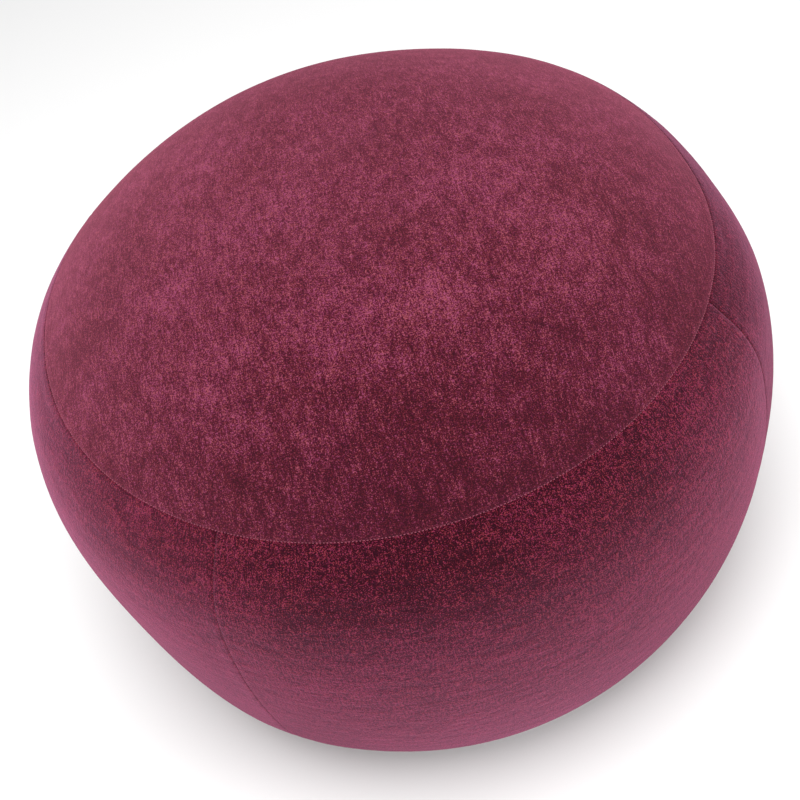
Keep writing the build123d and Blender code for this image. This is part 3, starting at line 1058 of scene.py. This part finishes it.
def make_allowances():
    """The strips of cover cloth pressed open behind each seam."""
    slot, cloth = "lining_cloth", backing
    width = ALLOWANCE_HALF_WIDTH
    top = layer(
        "top_allowance", "top_seam_allowance", ALLOWANCE_FACES,
        S_TOP_SEAM - width, S_TOP_SEAM + width, cloth,
    )
    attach(top, "seat")
    base = layer(
        "base_allowance", "base_seam_allowance", ALLOWANCE_FACES,
        S_BASE_SEAM - width, S_BASE_SEAM + width, cloth,
        azimuth=np.linspace(ZIP_START + ZIP_SWEEP, ZIP_START + 360, ROUND_COLUMNS),
    )
    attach(base, "base")
    half = math.degrees(width / OUT_R.max())
    for number, key in enumerate(SIDE_PANELS):
        middle = FIRST_SIDE_SEAM + number * PANEL_SWEEP
        azimuth = np.linspace(middle - half, middle + half, STRIP_COLUMNS)
        ends = (S_TOP_SEAM + width + SEAM_GAP, S_WIDEST, S_BASE_SEAM - ZIP_GROOVE_HALF)
        for half_name, start, end, bend in (
            ("upper", ends[0], ends[1], bend_upper),
            ("lower", ends[1], ends[2], bend_lower),
        ):
            strip = layer(
                f"side_allowance_{key}_{half_name}", "side_seam_allowances",
                ALLOWANCE_FACES, start, end, cloth, azimuth=azimuth,
            )
            bend(strip)


LABEL_FACES = (under_cover(3.35 * MM), under_cover(3.55 * MM))
LABEL_SIZE = (30 * MM, 22 * MM)
LABEL_COLUMNS = 7


def make_label():
    """The blank care label sewn behind the left panel's lower edge."""
    low = s_at_angle(ARCS[4][0])
    middle = FIRST_SIDE_SEAM + 3.5 * PANEL_SWEEP
    half = math.degrees(LABEL_SIZE[0] / 2 / OUT_R.max())
    azimuth = np.linspace(middle - half, middle + half, LABEL_COLUMNS)
    label = layer(
        "care_label_blank", "care_label", LABEL_FACES,
        low - LABEL_SIZE[1], low, label_cloth, azimuth=azimuth,
    )
    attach(label, "base")


make_foam()
make_bladder()
make_allowances()
make_label()


# ---- the zip --------------------------------------------------------------------------------------
ZIP_END_MARGIN = 2.0
TAPE_END_MARGIN = 0.4
TAPE_COLUMNS = 121
TAPE = (0.8 * MM, 11.0 * MM)
TAPE_FACES = (at_depth(2.3 * MM), at_depth(3.3 * MM))
COIL = (0.6 * MM, 3.1 * MM)
COIL_MIDDLE_DEPTH = 1.3 * MM
COIL_HALF_DEPTH = 0.75 * MM
COIL_PITCH = 1.5 * MM
COIL_WIRE = 0.25 * MM
COIL_TURN_POINTS = 10
STOP_LENGTH = 3.0 * MM


def make_tapes():
    """The tapes run on under the cover past the end stops, so no gap shows at the ends."""
    start, end = ZIP_START + TAPE_END_MARGIN, ZIP_START + ZIP_SWEEP - TAPE_END_MARGIN
    azimuth = np.linspace(start, end, TAPE_COLUMNS)
    near, far = TAPE
    for half, low, high in (("upper", -far, -near), ("lower", near, far)):
        tape = layer(
            f"zip_tape_{half}_woven", f"zip_tape_{half}", TAPE_FACES,
            S_BASE_SEAM + low, S_BASE_SEAM + high, tape_cloth, azimuth=azimuth,
        )
        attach(tape, "base")


def coil(side):
    """One half of the chain: a flattened monofilament helix along the seam line."""
    radius = float(np.interp(S_BASE_SEAM, OUT_S, OUT_R))
    stop = math.degrees(STOP_LENGTH / radius)
    start = ZIP_START + ZIP_END_MARGIN + stop
    sweep = ZIP_SWEEP - 2 * (ZIP_END_MARGIN + stop)
    turns = int(math.radians(sweep) * radius / COIL_PITCH)
    phase = np.arange(turns * COIL_TURN_POINTS + 1) * 2 * np.pi / COIL_TURN_POINTS
    azimuth = start + sweep * phase / phase[-1]
    middle, reach = sum(COIL) / 2, (COIL[1] - COIL[0]) / 2 - COIL_WIRE
    # the two chains are half a turn apart
    turn = phase + (np.pi if side > 0 else 0.0)
    s = S_BASE_SEAM + side * (middle + reach * np.cos(turn))
    out = -COIL_MIDDLE_DEPTH + COIL_HALF_DEPTH * np.sin(turn)
    parts = Parts()
    parts.add(*capsule(at(azimuth, s, out), COIL_WIRE))
    return parts


def make_coils():
    for half, side in (("upper", -1), ("lower", 1)):
        piece = coil(side).piece(f"zip_chain_{half}", nylon)
        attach(piece, "base")
        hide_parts(f"zip_coil_{half}")


make_tapes()
make_coils()


# ---- carried-over CAD pieces ------------------------------------------------------------------------
CAD_MATERIALS = {
    "zip_slider": lacquer,
    "zip_pull": lacquer,
    "zip_stop_closed_end": lacquer,
    "zip_stop_open_end": lacquer,
    "bladder_weld_band": film,
    "valve_boss": valve_plastic,
    "valve_plug": valve_plastic,
}
for node, material in CAD_MATERIALS.items():
    mesh = frame["nodes"][node].data
    mesh.materials.clear()
    mesh.materials.append(material)


# ---- floor and light ----------------------------------------------------------------------------------
def flat_colour(name, colour, roughness):
    made = Shader(name, roughness=roughness, specular=0.05)
    made.principled.inputs["Base Color"].default_value = colour
    return made.material


FLOOR_HALF = 12.0
PAPER = (0.92, 0.92, 0.92, 1.0)


def make_floor():
    signs = [(-1, -1), (1, -1), (1, 1), (-1, 1)]
    corners = [(x * FLOOR_HALF, y * FLOOR_HALF, 0) for x, y in signs]
    floor = new_piece("floor", corners, [(0, 1, 2, 3)], flat_colour("paper", PAPER, 1.0))


def soft_light(name, place, aim, size, power):
    """A round area light that looks from place to aim."""
    data = bpy.data.lights.new(name, "AREA")
    data.shape = "DISK"
    data.size = size
    data.energy = power
    light = bpy.data.objects.new(name, data)
    scene.collection.objects.link(light)
    light.location = place
    light.rotation_euler = (Vector(aim) - Vector(place)).to_track_quat("-Z", "Y").to_euler()


WORLD_STRENGTH = 0.59
OVERHEAD_PLACE = (0.03, -0.36, 2.0)
OVERHEAD_SIZE = 1.2
OVERHEAD_POWER = 30.0
FILL_AZIMUTHS = (-150, -20)
FILL_DISTANCE = 2.2
FILL_HEIGHT = 0.8
FILL_SIZE = 1.2
FILL_POWER = 16.0


def make_light():
    """A soft box overhead, and two low fills that light the side wall more than the floor."""
    world = bpy.data.worlds.new("studio")
    world.use_nodes = True
    background = world.node_tree.nodes["Background"]
    background.inputs["Color"].default_value = (1, 1, 1, 1)
    background.inputs["Strength"].default_value = WORLD_STRENGTH
    scene.world = world
    soft_light("overhead", OVERHEAD_PLACE, (0, 0, 0), OVERHEAD_SIZE, OVERHEAD_POWER)
    for azimuth in FILL_AZIMUTHS:
        turn = math.radians(azimuth)
        place = (FILL_DISTANCE * math.cos(turn), FILL_DISTANCE * math.sin(turn), FILL_HEIGHT)
        soft_light(f"fill_{azimuth}", place, (0, 0, PIVOT_HEIGHT), FILL_SIZE, FILL_POWER)


make_floor()
make_light()
scene.view_settings.view_transform = "Standard"
